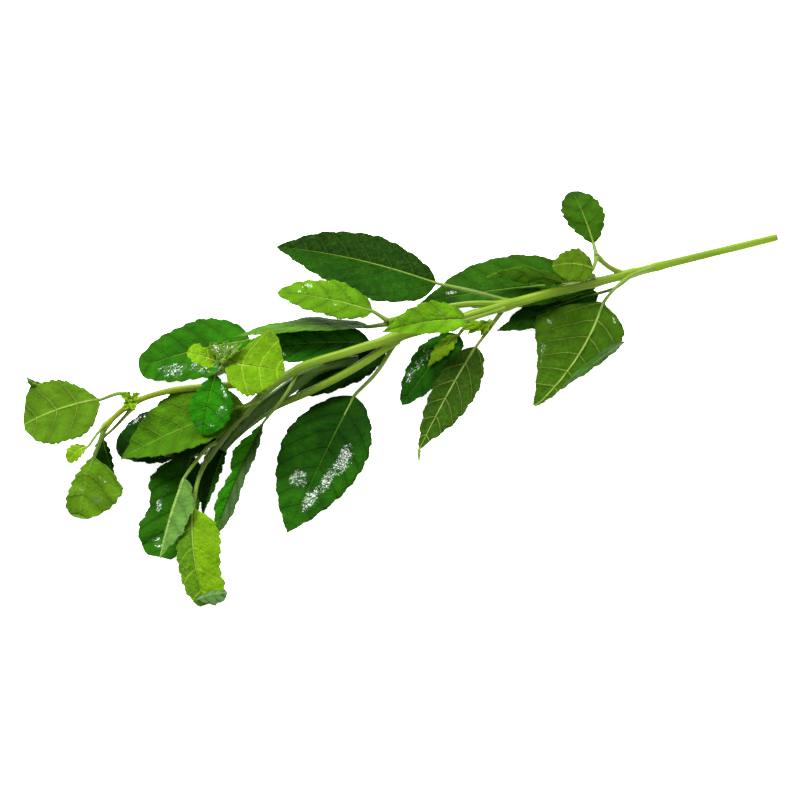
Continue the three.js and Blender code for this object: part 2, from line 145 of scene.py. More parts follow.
# How strong the marks on each face are, and how much they change the tone.
MARGIN_STRENGTH = 0.3
SPECKLE_STRENGTH = 0.14
NET_STRENGTH = 0.1
TOP_VEIN_STRENGTH = 0.45
UNDER_VEIN_STRENGTH = 0.7
UNDER_CLOUD_STRENGTH = 0.3
# Painted light on the swells between side veins and painted shade along the side veins, on both faces.
SWELL_PAINTED_LIGHT = 0.18
VEIN_PAINTED_SHADE = 0.12
MOTTLE_RANGE = (0.88, 1.12)
PATCH_RANGE = (0.87, 1.13)

# Relief of the skin in millimetres, and how a blade takes the light.
VEIN_RELIEF = 0.35
RIB_BUMP = 0.3
PUCKER_RELIEF = 1.5
GRAIN_RELIEF = 0.04
DROP_RELIEF = 0.6
DRY_ROUGHNESS = 0.6
UNDER_ROUGHNESS = 0.15
WET_ROUGHNESS = 0.06
SHINE_THROUGH = 0.14

# Stems darken towards the tips between these two places along X, in metres, and streaks run along them.
DARK_END_X = (-0.07, -0.01)
STREAK_STRETCH = (0.03, 2.2, 2.2)

# Each light: its place and size in metres and its power in watts. All face the table's middle.
LIGHTS = {
    "key": {"place": (-0.5, 0.2, 0.75), "size": (0.35, 0.35), "power": 17},
    "fill": {"place": (0.6, -0.3, 0.7), "size": (0.9, 0.9), "power": 6},
    "back": {"place": (0.05, 0.55, 0.8), "size": (0.45, 0.35), "power": 16},
}
SKY_STRENGTH = 0.55

# Half the width of the table, in metres.
TABLE_HALF = 1.5

# The numbers of the stems' skins, in the order that make_stem gets.
MAIN_SKIN = 0
CUT_SKIN = 1
YOUNG_SKIN = 2
PAINTED_SHADE_SKIN = 3

# Each stem: its line of points, its radius at both ends, its radius in the middle where that isn't between
# the two, and its skin. The first is the main one, and the last lies between two others, in the dark slit
# there, with painted shade in its skin.
STEMS = [
    {"points": [[125.5, 54.3, 1.2], [113, 51.2, 2.2], [100, 48, 4], [87, 44.8, 6.5], [75, 41.7, 9],
                [63, 38.7, 11], [50, 35.6, 13], [36, 31.8, 15], [23.3, 28, 16.5], [10, 24.2, 17.5],
                [-1.7, 20.8, 18], [-16.7, 16.2, 18.5], [-32.7, 11, 18.5], [-43.3, 4, 18], [-52, -4.5, 17],
                [-59.5, -13, 14.5], [-64.5, -20, 11.5]],
     "radius": [1.25, 1.0], "thickest": 1.65},
    {"points": [[-1, 20.5, 17], [-10, 14, 14.5], [-20, 8, 12.5], [-32, 2, 10.5], [-42, -2.5, 9],
                [-50.5, -8.5, 8], [-55, -12, 7.5]],
     "radius": [1.5, 1.1]},
    {"points": [[37, 32, 15], [23.3, 32, 17.5], [13, 30.5, 18.5], [3.5, 28.5, 19.5], [-4, 26, 20]],
     "radius": [1.1, 0.9]},
    {"points": [[75, 41.7, 9], [69.5, 44.5, 13], [65.5, 48, 17]],
     "radius": [1.1, 0.8]},
    {"points": [[-43, 4.3, 18], [-54, 5, 21], [-66.7, 4.2, 23], [-77, 3, 23.5], [-85, 0.8, 22.5],
                [-90, -1.5, 21], [-95, -5.5, 19], [-99, -9.5, 17]],
     "radius": [1.3, 0.9], "skin": YOUNG_SKIN},
    {"points": [[-45, 2.7, 18], [-50, 4, 25], [-55.5, 8, 31], [-59.5, 11.5, 34]],
     "radius": [1.1, 0.8]},
    {"points": [[-14, 13.5, 11], [-27, 10.6, 12.5], [-36.7, 4.2, 12.8], [-46, -2.6, 12], [-53.5, -9.6, 10.5],
                [-59.5, -16.8, 8.5]],
     "radius": [1.6, 1.3], "thickest": 2.3, "skin": PAINTED_SHADE_SKIN},
]

LEAF_DEFAULTS = {
    "via": [], "arch": 2, "sway": 0, "roll": 0, "fold": [10, 10], "curl": [-10, -10], "wave": 0.5,
    "waves": 2.5, "halves": [1, 1], "widest": [0.42, 0.42], "tip_power": [0.95, 0.95], "base_power": 0.6,
    "teeth": 8, "upside": 1, "outline": None, "flaps": [], "wet": [],
}
FLAP_DEFAULTS = {**LEAF_DEFAULTS, "arch": 0.6, "fold": [-12, -12], "curl": [-30, -30], "wave": 0}
BUD_BLADE = {**LEAF_DEFAULTS, "arch": 0.4, "fold": [25, 25], "widest": [0.55, 0.55], "teeth": 3, "wave": 0}

# Each leaf: where its stalk leaves the stem, places that the stalk passes, where the blade starts and where
# its tip is. width is across the flattened blade. Pairs are for the half on the left and the half on the
# right of somebody who looks from the blade's base to its tip. outline lists half widths instead, evenly
# spaced from the base to the tip. flaps are parts of the blade that are folded over and lie on it.
LEAVES = [
    # along the lower stem, towards the cut end
    {"name": "leaf_under_stem", "kind": "mature", "root": [75, 41.3, 8], "base": [66.7, 39.5, 7.5],
     "tip": [7, 32.5, 2.5], "width": 31, "fold": [8, 8], "halves": [0.6, 0.89], "widest": [0.42, 0.5]},
    {"name": "leaf_under_low", "kind": "gloss", "root": [77, 41.5, 7], "via": [[72, 37.5, 4.5]],
     "base": [66, 35.5, 2], "tip": [32.3, 22.3, -1.2], "width": 14, "fold": [6, 6], "teeth": 7},
    {"name": "leaf_small_top", "kind": "mature", "root": [65.5, 48, 17], "base": [64.5, 52, 18],
     "tip": [57.3, 69.5, 21], "width": 15, "widest": [0.55, 0.5], "tip_power": [0.6, 0.6], "teeth": 7},
    {"name": "leaf_small_back", "kind": "pale", "root": [65.5, 47.5, 17], "base": [64.3, 43.5, 19],
     "tip": [50.7, 44.5, 21.5], "width": 16, "halves": [1.05, 0.85], "widest": [0.5, 0.4],
     "tip_power": [0.55, 0.55], "teeth": 7, "upside": -1},
    {"name": "leaf_edge_back", "kind": "mature", "root": [64.8, 41.4, 13.2], "base": [55, 39.5, 16],
     "tip": [29, 41, 13.5], "width": 14, "roll": 62, "fold": [14, -14], "teeth": 7},
    {"name": "leaf_rolled_right", "kind": "pale", "root": [86, 44.7, 7],
     "via": [[76, 40.8, 12], [71, 36.5, 11]], "base": [67.7, 32.3, 9], "tip": [44.7, -2.7, -1.2],
     "width": 30, "sway": 3.5, "fold": [4, 6], "curl": [-14, -12], "teeth": 9,
     "outline": [[1, 8.6, 11.2, 8, 5.6, 4, 3, 1.8, 0.6], [3, 14, 19.4, 19.8, 17, 13.4, 9.6, 5.6, 1.4]],
     "upside": -1,
     "flaps": [{"base": [74.6, 19.4, 9.3], "tip": [53.6, 3.7, 3.2], "width": 6.5, "halves": [0.55, 1.2],
                "teeth": 4}]},

    # round the middle fork
    {"name": "leaf_back_large", "kind": "mature", "root": [36, 33, 15], "via": [[25, 36, 19]],
     "base": [12, 39, 20], "tip": [-41.3, 51, 17], "width": 25, "arch": 3, "fold": [12, 12],
     "halves": [1.25, 0.88], "widest": [0.32, 0.47], "tip_power": [0.8, 0.8], "teeth": 9},
    {"name": "leaf_fork_pale", "kind": "light", "root": [35, 30.5, 16], "base": [22, 26.7, 22],
     "tip": [-5.7, 22.7, 24], "width": 18, "fold": [30, 30], "halves": [1.02, 0.78], "teeth": 7},
    {"name": "leaf_hanging_long", "kind": "pale", "root": [34.5, 30.5, 14], "via": [[30, 24, 15]],
     "base": [25.3, 17.7, 14], "tip": [6.3, -16.8, 3], "width": 17, "halves": [1.08, 0.72],
     "tip_power": [0.95, 0.7], "upside": -1,
     "flaps": [{"base": [6.4, -15.6, 3.5], "tip": [6.3, -20.3, 2.6], "width": 1.6, "arch": 0.2, "teeth": 2}]},
    {"name": "leaf_hanging_dark", "kind": "gloss", "root": [24, 27.5, 15], "base": [19.5, 21.7, 10],
     "tip": [0.7, -1.7, 4], "width": 15, "tip_power": [0.6, 0.6], "teeth": 7,
     "flaps": [{"base": [18.6, 21.6, 11.4], "tip": [9.2, 11, 10], "width": 6.4, "fold": [0, 0],
                "curl": [-8, -8], "arch": 0.8, "kind": "young", "teeth": 5}]},
    {"name": "leaf_front_large", "kind": "gloss", "root": [-1, 20, 17], "via": [[-8, 9, 10]],
     "base": [-15.3, 1.3, 5], "tip": [-37.4, -45, -1.5], "width": 31, "fold": [3, 3], "halves": [0.91, 1],
     "base_power": 0.75, "tip_power": [0.9, 0.8], "teeth": 10},
    {"name": "leaf_under_fork", "kind": "shade", "root": [-2, 20, 16.5], "base": [-5, 16, 9],
     "tip": [-36, 0, 3], "width": 15, "teeth": 7},

    # along the upper left, behind the stem
    {"name": "leaf_light_back", "kind": "light", "root": [-4, 26.3, 20], "base": [-9.3, 29.7, 22.5],
     "tip": [-41, 35.6, 27], "width": 15.5, "tip_power": [0.6, 0.55]},
    {"name": "leaf_edge_long", "kind": "light", "root": [-3.5, 25.5, 18.5], "base": [-10, 24.5, 17],
     "tip": [-55.7, 20.7, 22], "width": 18, "roll": 35, "fold": [4, 4], "halves": [0.7, 1]},
    {"name": "leaf_dark_long", "kind": "gloss", "root": [-4, 19, 16.5], "base": [-10, 19, 12.6],
     "tip": [-56, 16, 12.8], "width": 18},
    {"name": "leaf_round_left", "kind": "mature", "root": [-38, 8, 17], "via": [[-44, 15, 10.5]],
     "base": [-50, 20, 6.5], "tip": [-87, 10.5, -1.5], "width": 26, "halves": [1.03, 0.9],
     "widest": [0.4, 0.42], "tip_power": [0.4, 0.4], "teeth": 9},

    # the young shoot that stands up from the heap
    {"name": "leaf_young_top", "kind": "young", "root": [-59, 12, 33.5], "base": [-58.4, 12.6, 34.3],
     "tip": [-38.4, 9.6, 34], "width": 26, "arch": 0, "wave": 0.3, "teeth": 11,
     "outline": [[0.5, 3.4, 6.4, 9.8, 12.8, 14.8, 12.8, 7.6, 1.5],
                 [1.5, 7.8, 10, 12.2, 13, 11.8, 9.6, 6.6, 1.5]]},
    {"name": "leaf_young_small", "kind": "young", "root": [-60, 11.9, 33.7], "base": [-61.3, 12.7, 34.6],
     "tip": [-70.8, 16, 36], "width": 8.5, "arch": 0.5, "wave": 0.2, "teeth": 5,
     "outline": [[2.4, 3.8, 4, 4.1, 4.1, 3.9, 3.4, 2.7, 1.4], [1.2, 3, 3.6, 3.8, 3.4, 3.8, 4.3, 3.8, 2.2]]},
    {"name": "leaf_dark_top", "kind": "gloss", "root": [-58.5, 10.5, 32.5], "base": [-61.5, 8.5, 30],
     "tip": [-65.9, -11.5, 23], "width": 16, "teeth": 8,
     "outline": [[1, 3.4, 6.4, 8.3, 8.8, 8.6, 7.9, 6.2, 2.6], [1, 2.6, 4, 5, 5.8, 6, 5.2, 3.6, 1]]},

    # the wide leaves on the left
    {"name": "leaf_wide_left", "kind": "pale", "root": [-47, 0, 18], "base": [-52, -2, 21],
     "tip": [-93, -19.7, 12], "width": 26, "fold": [20, 20], "halves": [0.86, 1], "upside": -1, "teeth": 10},
    {"name": "leaf_wide_under", "kind": "shade", "root": [-51, -4.5, 16], "base": [-56, -7, 12],
     "tip": [-94.6, -16.4, 6.5], "width": 22, "halves": [1.12, 1.04], "widest": [0.48, 0.5],
     "tip_power": [0.45, 0.45], "teeth": 9},
    {"name": "leaf_far_round", "kind": "pale", "root": [-88.5, 0, 22], "via": [[-93, 2.2, 21.5]],
     "base": [-100.3, 0, 18], "tip": [-125.3, -8.4, 13], "width": 28, "teeth": 11,
     "outline": [[3, 10, 13, 14, 14.2, 13.6, 12, 9.2, 3], [1, 5, 8, 10.4, 11.8, 12.6, 12.6, 9.6, 2]],
     "upside": -1,
     "flaps": [{"base": [-118.6, 5, 16.6], "tip": [-124.4, 7.6, 18.5], "width": 4, "sway": 1.2, "arch": 0.4,
                "teeth": 2}]},
    {"name": "leaf_far_low", "kind": "pale", "root": [-98.5, -9.5, 17], "base": [-102, -19, 11],
     "tip": [-107, -40.2, -1.5], "width": 20, "teeth": 8, "upside": -1,
     "outline": [[1, 7.4, 10.6, 13.2, 12.6, 11.2, 8.8, 5.4, 1.5], [1, 2.6, 3.6, 4.6, 5.2, 5.6, 5.6, 4.8, 2]]},
    {"name": "leaf_far_tiny", "kind": "young", "root": [-98, -7.8, 18], "via": [[-101.5, -12, 20]],
     "base": [-104, -15.5, 19.5], "tip": [-110.6, -20.5, 18], "width": 6.5, "widest": [0.6, 0.6],
     "tip_power": [0.4, 0.4], "teeth": 5, "wave": 0.2},
    {"name": "leaf_far_inner", "kind": "shade", "root": [-89.5, -3, 20], "via": [[-95, -9, 15]],
     "base": [-99, -13, 9], "tip": [-95.2, -28.5, 2], "width": 10, "halves": [0.35, 1], "teeth": 6},

    # the leaves that fall towards the front
    {"name": "leaf_bottom_dark", "kind": "gloss", "root": [-62.6, -17, 12.2], "base": [-69.5, -19, 3.5],
     "tip": [-80, -53.2, -1.5], "width": 19, "wave": 0.8, "teeth": 9,
     "outline": [[2, 6, 8, 8.6, 8.4, 8, 7.4, 6.6, 4.6], [2, 8, 10.6, 10.6, 8.8, 8.8, 9.8, 8.4, 5]]},
    {"name": "leaf_bottom_folded", "kind": "pale", "root": [-60.5, -14, 14], "via": [[-64, -15.7, 16]],
     "base": [-72, -26, 14], "tip": [-80, -52.7, 6], "width": 13, "arch": 0.6, "roll": 40,
     "fold": [-30, -20], "halves": [1.05, 0.42], "upside": -1, "teeth": 7},
    {"name": "leaf_bottom_bright", "kind": "young", "root": [-64.3, -19.7, 11.6],
     "via": [[-67.3, -26.7, 11]], "base": [-68.9, -36, 9], "tip": [-64.8, -68.3, 1.2], "width": 18,
     "sway": -1.7, "fold": [12, -4], "teeth": 9,
     "outline": [[1, 6.4, 8.8, 9.4, 9, 8.4, 7.9, 8.2, 6], [1, 1.8, 3.9, 5.3, 5.9, 5.8, 5.6, 4.8, 2.6]],
     "flaps": [{"base": [-67.6, -66.6, 2], "tip": [-57.6, -64.2, 4.4], "width": 7.4, "arch": 0.9,
                "kind": "pale", "upside": -1, "widest": [0.6, 0.6], "tip_power": [0.4, 0.4], "teeth": 3}]},
    {"name": "leaf_front_folded", "kind": "mature", "root": [-33.5, 10.5, 17.5], "via": [[-38, 2, 16]],
     "base": [-46, -8.2, 12], "tip": [-61.3, -43.5, 3], "width": 11, "fold": [34, 22],
     "outline": [[1, 2.9, 3.7, 4.2, 4, 4.3, 4.8, 4.6, 2.6], [1, 2.6, 4.6, 4.9, 3.2, 3.6, 4, 3, 1]]},
    {"name": "leaf_front_inner", "kind": "shade", "root": [-54.5, -11.7, 7.5], "base": [-58, -16, 7],
     "tip": [-65.7, -38.3, 3.4], "width": 12, "halves": [0.35, 1], "teeth": 7},
]

# Each bud: where its heart is, and for each of its tiny leaves the place of the tip and the width.
BUDS = [
    {"name": "bud_far_left", "kind": "young", "heart": [-89.5, -0.7, 23.2],
     "tips": [[-93.3, 2, 26.5, 5], [-86.5, 2.2, 27.5, 4], [-88.5, -3.5, 26, 4], [-92, -3.5, 25.5, 4]]},
    {"name": "bud_top", "kind": "light", "heart": [-58.9, 12.9, 36.1],
     "tips": [[-63.2, 19.3, 37, 5], [-57.5, 20, 38, 4.5], [-52.5, 19.5, 37.5, 4.5]]},
    {"name": "bud_fork", "kind": "young", "heart": [30, 25.9, 16.7],
     "tips": [[20, 23.2, 15.5, 4.5], [22.5, 22, 16, 4], [27, 21.5, 15.5, 3.5]]},
]

# Wet places: how far along the blade, how far across it, and the size of the place each way.
WET = {
    "leaf_front_large": [[0.44, 0.48, 0.17, 0.26], [0.6, 0.4, 0.15, 0.26], [0.76, 0.26, 0.13, 0.4],
                         [0.66, -0.35, 0.1, 0.35]],
    "leaf_hanging_dark": [[0.48, -0.5, 0.25, 0.4], [0.7, -0.6, 0.15, 0.3]],
    "leaf_light_back": [[0.7, -0.6, 0.1, 0.2], [0.78, -0.2, 0.06, 0.12], [0.4, 0.3, 0.05, 0.1]],
    "leaf_fork_pale": [[0.3, -0.4, 0.06, 0.15], [0.5, 0, 0.04, 0.1]],
    "leaf_rolled_right": [[0.6, -0.82, 0.2, 0.06], [0.3, -0.75, 0.05, 0.1], [0.12, 0.7, 0.05, 0.1]],
    "leaf_round_left": [[0.68, 0.55, 0.2, 0.4], [0.42, 0.6, 0.2, 0.35]],
    "leaf_dark_long": [[0.4, 0.3, 0.4, 0.35], [0.65, 0.5, 0.3, 0.4], [0.8, -0.3, 0.15, 0.4]],
    "leaf_wide_under": [[0.78, -0.85, 0.12, 0.15], [0.64, -0.92, 0.1, 0.1], [0.62, 0.85, 0.25, 0.1]],
    "leaf_dark_top": [[0.28, 0.7, 0.15, 0.25], [0.61, 0.6, 0.14, 0.3], [0.85, 0.4, 0.08, 0.35],
                      [0.85, -0.4, 0.08, 0.35]],
    "leaf_bottom_dark": [[0.53, -0.6, 0.1, 0.2], [0.86, -0.25, 0.08, 0.3], [0.37, -0.45, 0.05, 0.2]],
    "leaf_far_low": [[0.54, -0.3, 0.12, 0.3], [0.62, 0.46, 0.15, 0.25], [0.29, 0.5, 0.08, 0.25]],
    "leaf_under_stem": [[0.83, -0.19, 0.05, 0.2]],
    "bud_top": [[0.5, 0.0, 0.6, 1.0]],
}

# Colours of a leaf, by kind: top, a second top shade that clouds it, underside, veins and midrib.
# painted_base_shade is how bright the blade is at its base, where it gets painted shade, and
# vein_relief_and_painted_shade is how strongly side veins groove the top and carry painted shade and light.
LOOK_DEFAULTS = {"painted_base_shade": 1.0, "vein_relief_and_painted_shade": 1.0}
LOOKS = {
    "mature": {"top": "#33660f", "cloud": "#3d7a12", "under": "#6d9440", "vein": "#5f9030", "rib": "#a9c87c"},
    "gloss": {"top": "#20520e", "cloud": "#2b6a12", "under": "#5a823a", "vein": "#387020", "rib": "#7fae50"},
    # shade is painted shade: darker copies of the leaf colours for leaves that lie under others.
    "shade": {"top": "#14380c", "cloud": "#1e4c10", "under": "#44682c", "vein": "#2e5a1c", "rib": "#5f8a40"},
    "light": {"top": "#6ca01e", "cloud": "#7cb424", "under": "#8cae54", "vein": "#9cc850", "rib": "#c4dc90"},
    "pale": {"top": "#3c6e16", "cloud": "#4a801e", "under": "#628f22", "vein": "#88ac44", "rib": "#b0cc80"},
    "young": {"top": "#78a812", "cloud": "#88b814", "under": "#88a830", "vein": "#ccec60", "rib": "#d8ec98",
              "vein_relief_and_painted_shade": 0.25},
}

# What differs on single leaves. painted_light_half is the top's colour on the half that second values are
# for:
# painted light and shade, for how the light falls on that half.
LEAF_LOOKS = {
    "leaf_front_large": {"top": "#245c08", "cloud": "#347e0c", "rib": "#5c8c3c", "painted_base_shade": 0.62},
    "leaf_back_large": {"top": "#1a4806", "cloud": "#225608", "painted_light_half": "#1a3c06"},
    "leaf_under_stem": {"top": "#2c5c14", "cloud": "#386c14"},
    "leaf_small_top": {"top": "#386414", "cloud": "#447414"},
    "leaf_small_back": {"under": "#6a8c24", "rib": "#a4bc60"},
    # Painted light: lighter than its kind, to lift the shade that this leaf lies in.
    "leaf_edge_back": {"under": "#80c040", "top": "#80c040"},
    "leaf_rolled_right": {"under": "#486e16", "vein": "#98b868", "rib": "#c0d4a0"},
    # Painted reflection: the flap's grey-blue stands for a sheen on its top.
    "leaf_rolled_right_flap": {"under": "#5c7078", "top": "#5c7078", "vein": "#7c9090", "rib": "#788c88"},
    "leaf_hanging_long": {"under": "#3c5c1c", "vein": "#a4bc7c", "rib": "#b4c894"},
    "leaf_hanging_long_flap": {"under": "#94a870", "top": "#94a870"},
    "leaf_hanging_dark": {"top": "#246010", "cloud": "#2c7410"},
    # Partly painted light: the fold's bright yellow-green is a young leaf's colour with light shining through
    # it painted in.
    "leaf_hanging_dark_flap": {"top": "#98c81c", "cloud": "#a0d020", "under": "#98c81c"},
    "leaf_young_top": {"top": "#6c9a10", "cloud": "#7caa12"},
    "leaf_edge_long": {"top": "#508820", "cloud": "#609824", "under": "#608c30"},
    # Painted light: lighter than its kind, to lift the shade of the stem over it.
    "leaf_dark_long": {"top": "#2c7c18", "cloud": "#3c9020"},
    "leaf_round_left": {"top": "#2e7408", "cloud": "#388808"},
    "leaf_dark_top": {"top": "#2c8808", "cloud": "#389a0c", "painted_base_shade": 0.7, "vein": "#48a018",
                      "rib": "#58ac24"},
    "leaf_wide_left": {"under": "#5c9020", "vein": "#8cb448", "rib": "#9cc058"},
    "leaf_far_round": {"under": "#6a9228", "vein": "#9cbc64", "rib": "#c0d498"},
    "leaf_far_low": {"under": "#80b034", "vein": "#84ac48", "rib": "#94b85c"},
    "leaf_bottom_dark": {"top": "#34780c", "cloud": "#449010", "painted_base_shade": 0.8},
    "leaf_bottom_folded": {"under": "#88b880", "vein": "#a0c898", "rib": "#b8d4a8"},
    "leaf_bottom_bright": {"top": "#84b410", "cloud": "#90c014", "painted_light_half": "#5c8c22", "rib": "#bcd490"},
    "leaf_bottom_bright_flap": {"top": "#6c9484", "under": "#74a08c", "rib": "#8cb0a0"},
    "leaf_front_folded": {"top": "#587868", "cloud": "#587868", "painted_light_half": "#3c9c0c", "rib": "#5ca030"},
    "leaf_front_inner": {"top": "#2c7010", "cloud": "#388014", "painted_light_half": "#12300c"},
    "bud_top": {"top": "#5c8c2c", "cloud": "#74a048"},
}


def seen(place):
    """The point that looks `right` and `up` of the middle from the camera's side, at its true height."""
    right, up, height = place
    sin = math.sin(VIEW_ELEVATION)
    cos = math.cos(VIEW_ELEVATION)
    reach = (VIEW_DISTANCE * sin - height) / (VIEW_DISTANCE * sin - up * cos)
    y = reach * (up * sin + VIEW_DISTANCE * cos) - VIEW_DISTANCE * cos
    return Vector((reach * right, y, height)) - PLAN_MIDDLE


def between(start, end, leaving, arriving, t):
    """A point on the cubic from start to end with the given speeds at both."""
    first = start * (2 * t**3 - 3 * t**2 + 1) + leaving * (t**3 - 2 * t**2 + t)
    return first + end * (3 * t**2 - 2 * t**3) + arriving * (t**3 - t**2)


def smooth_line(points, spacing):
    """Evenly spaced points along a centripetal Catmull-Rom curve, and how far along it each one is."""
    points = [Vector(p) for p in points]
    padded = [2 * points[0] - points[1], *points, 2 * points[-1] - points[-2]]
    fine = []
    for i in range(len(points) - 1):
        p0, p1, p2, p3 = padded[i:i + 4]
        d0 = (p1 - p0).length ** 0.5
        d1 = (p2 - p1).length ** 0.5
        d2 = (p3 - p2).length ** 0.5
        leaving = ((p1 - p0) / d0 - (p2 - p0) / (d0 + d1) + (p2 - p1) / d1) * d1
        arriving = ((p2 - p1) / d1 - (p3 - p1) / (d1 + d2) + (p3 - p2) / d2) * d1
        for k in range(CURVE_STEPS):
            fine.append(between(p1, p2, leaving, arriving, k / CURVE_STEPS))
    fine.append(points[-1])
    fine = np.array([list(p) for p in fine])
    along = np.concatenate([[0], np.cumsum(np.linalg.norm(np.diff(fine, axis=0), axis=1))])
    count = max(4, int(round(along[-1] / spacing)))
    wanted = np.linspace(0, along[-1], count + 1)
    return np.stack([np.interp(wanted, along, fine[:, k]) for k in range(3)], axis=1), wanted


def tube(line, radii, sides, section, up=(0, 0, 1)):
    """Rings of points round a line. section(angles) swells or grooves the ring, and angle 0 faces up."""
    tangents = np.gradient(line, axis=0)
    tangents /= np.linalg.norm(tangents, axis=1, keepdims=True)
    reference = np.array(up, float)
    rings = []
    angles = np.linspace(0, 2 * math.pi, sides, endpoint=False)
    for place, tangent, radius in zip(line, tangents, radii):
        first = reference - tangent * reference.dot(tangent)
        first /= np.linalg.norm(first)
        reference = (1 - RING_DRIFT) * reference + RING_DRIFT * first
        second = np.cross(tangent, first)
        ring = radius * section(angles)
        rings.append(place + np.outer(ring * np.cos(angles), first) + np.outer(ring * np.sin(angles), second))
    return np.array(rings)


def add_object(name, data):
    made = bpy.data.objects.new(name, data)
    bpy.context.scene.collection.objects.link(made)
    return made


class MeshBuild:
    """Collects points, faces, skin numbers and per-point values of one piece."""

    def __init__(self):
        self.points = []
        self.faces = []
        self.numbers = []
        self.leaf = []
        self.under = []
        self.wet = []

    def add_points(self, points, leaf, under, wet):
        start = len(self.points)
        self.points.extend(points)
        self.leaf.extend(leaf)
        self.under.extend(under)
        self.wet.extend(wet)
        return start

    def add_faces(self, faces, number):
        self.faces.extend(faces)
        self.numbers.extend([number] * len(faces))

    def add_tube(self, rings, lengths, number, first_end_number):
        """A closed tube through the rings, whose first end may have a skin of its own."""
        count, sides, _ = rings.shape
        turns = [2 * math.pi * j / sides for j in range(sides)]
        values = [(length, math.sin(turn), math.cos(turn)) for length in lengths for turn in turns]
        nothing = [0] * len(values)
        start = self.add_points(rings.reshape(-1, 3), values, nothing, nothing)
        at = lambda i, j: start + i * sides + j % sides
        for i in range(count - 1):
            for j in range(sides):
                self.add_faces([(at(i, j), at(i, j + 1), at(i + 1, j + 1), at(i + 1, j))], number)
        self.add_faces([tuple(at(0, j) for j in reversed(range(sides)))], first_end_number)
        self.add_faces([tuple(at(count - 1, j) for j in range(sides))], number)

    def build(self, name, materials):
        mesh = bpy.data.meshes.new(name)
        mesh.from_pydata([tuple(float(c) * MM for c in p) for p in self.points], [], self.faces)
        for material in materials:
            mesh.materials.append(material)
        mesh.polygons.foreach_set("material_index", self.numbers)
        mesh.polygons.foreach_set("use_smooth", [len(f) == 4 for f in self.faces])
        leaf = mesh.attributes.new("leaf", "FLOAT_VECTOR", "POINT")
        leaf.data.foreach_set("vector", np.array(self.leaf, float).ravel())
        for key, values in (("under", self.under), ("wet", self.wet)):
            attribute = mesh.attributes.new(key, "FLOAT", "POINT")
            attribute.data.foreach_set("value", np.array(values, float))
        mesh.update()
        return add_object(name, mesh)


def midrib(leaf):
    """Places, side directions and normals at even stations along a leaf's midrib."""
    base = seen(leaf["base"])
    tip = seen(leaf["tip"])
    along = (tip - base).normalized()
    across = Vector((0, 0, 1)).cross(along).normalized()
    across.rotate(Matrix.Rotation(math.radians(leaf["roll"]), 3, along))
    out = along.cross(across)
    middle = (base + tip) / 2 + 2 * leaf["sway"] * across + 2 * leaf["arch"] * out
    places = []
    sides = []
    normals = []
    for i in range(STATIONS + 1):
        t = i / STATIONS
        tangent = ((1 - t) * (middle - base) + t * (tip - middle)).normalized()
        side = (across - tangent * across.dot(tangent)).normalized()
        places.append(list((1 - t) ** 2 * base + 2 * t * (1 - t) * middle + t * t * tip))
        sides.append(list(side))
        normals.append(list(tangent.cross(side)))
    return np.array(places), np.array(sides), np.array(normals)


def between_stations(values, ts):
    stations = np.arange(STATIONS + 1)
    return np.stack([np.interp(ts * STATIONS, stations, values[:, k]) for k in range(3)], axis=1)


def directions_between_stations(values, ts):
    found = between_stations(values, ts)
    return found / np.linalg.norm(found, axis=1, keepdims=True)


def smooth_values(values, ts):
    """A smooth line through evenly spaced values, at each t from 0 to 1."""
    values = np.array(values, float)
    last = len(values) - 1
    i = np.minimum(last - 1, np.floor(ts * last)).astype(int)
    share = ts * last - i
    start = values[i]
    end = values[i + 1]
    before = values[np.maximum(i - 1, 0)]
    after = values[np.minimum(i + 2, last)]
    square = 2 * before - 5 * start + 4 * end - after
    cube = 3 * (start - end) + after - before
    return start + 0.5 * share * (end - before + share * (square + share * cube))


def smooth_half_width(leaf, ts, side):
    """How wide the half blade is at each t without its teeth."""
    if leaf["outline"]:
        return smooth_values(leaf["outline"][side], ts)
    bend = math.log(0.5) / math.log(leaf["widest"][side])
    power = leaf["base_power"] + (leaf["tip_power"][side] - leaf["base_power"]) * ts
    return np.maximum(np.sin(np.pi * ts**bend), 0) ** power * leaf["width"] / 2 * leaf["halves"][side]


def half_width(leaf, ts, side):
    """How wide the half blade is at each t, with its rounded teeth."""
    smooth = smooth_half_width(leaf, ts, side)
    phase = (ts * leaf["teeth"]) % 1
    rising = (phase / TOOTH_PEAK) ** TOOTH_ROUNDNESS
    tooth = np.where(phase < TOOTH_PEAK, rising, (1 - phase) / (1 - TOOTH_PEAK))
    depth = np.minimum(TOOTH_DEPTH, DEEPEST_TOOTH_SHARE * smooth)
    nick = FINE_TOOTH_DEPTH * ((ts * leaf["teeth"] * FINE_TEETH + FINE_TOOTH_SHIFT * side) % 1)
    return np.maximum(smooth - depth * (1 - tooth) - nick, LEAST_HALF_WIDTH)


def blade_length(leaf):
    return (seen(leaf["tip"]) - seen(leaf["base"])).length


def side_veins(leaf):
    return min(MOST_VEINS, max(FEWEST_VEINS, blade_length(leaf) / VEIN_SPACING))


def swell_height(leaf, ts, outward, share):
    """How far the blade swells between its side veins, less so near the midrib, the edge and both ends."""
    phase = (ts - VEIN_SLANT * outward - VEIN_BEND * outward**2) * side_veins(leaf)
    fade = np.sin(np.pi * np.clip(abs(share) * 0.95 + 0.02, 0, 1)) ** 0.7 * np.sin(np.pi * ts) ** 0.5
    most = leaf["upside"] * QUILT_HEIGHT * min(1, leaf["width"] / 2 / QUILT_FULL_HALF_WIDTH)
    return most * (0.5 - 0.5 * np.cos(2 * np.pi * phase)) * fade


